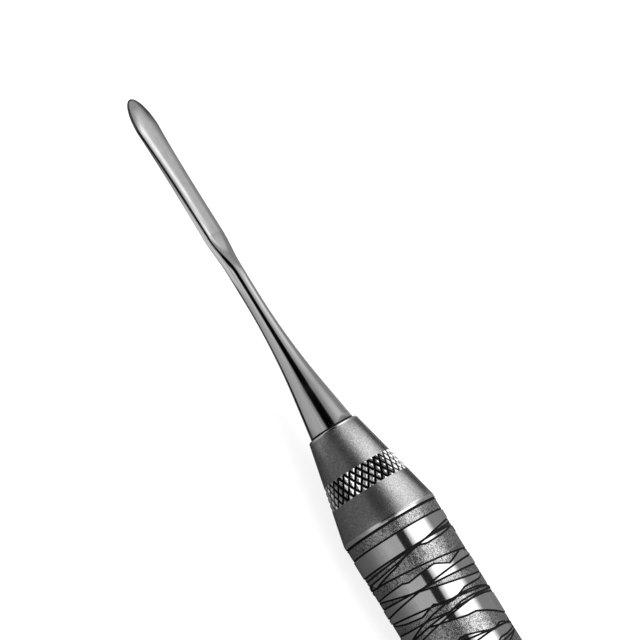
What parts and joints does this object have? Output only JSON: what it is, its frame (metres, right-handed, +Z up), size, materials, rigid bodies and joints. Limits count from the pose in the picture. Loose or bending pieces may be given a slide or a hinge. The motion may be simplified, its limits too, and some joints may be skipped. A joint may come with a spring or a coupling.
{
  "type": "periosteal elevator",
  "caption": "Slender two-faced blade with a rounded nose on a flared shank, in a round hollow handle with a knurled cone and a banded grip.",
  "frame": {"origin": "on the floor, below the middle of the instrument as it lies on its handle", "axes": "+X along the instrument towards the blade's apex, +Y across the blade's width, +Z up, square to the blade's face"},
  "size_m": [0.149, 0.01, 0.01],
  "materials": {
    "tip_steel": "polished stainless steel, the blade's faces finely ground",
    "cone_steel": "satin bead-blasted stainless steel with a bright knurled ring",
    "grip_steel": "polished lands between sunk stippled bands",
    "cap_steel": "satin bead-blasted stainless steel"
  },
  "bodies": {
    "root": {"working_tip": "tip_steel", "front_cone": "cone_steel", "handle_tube": "grip_steel", "end_cap": "cap_steel"}
  },
  "joints": []
}
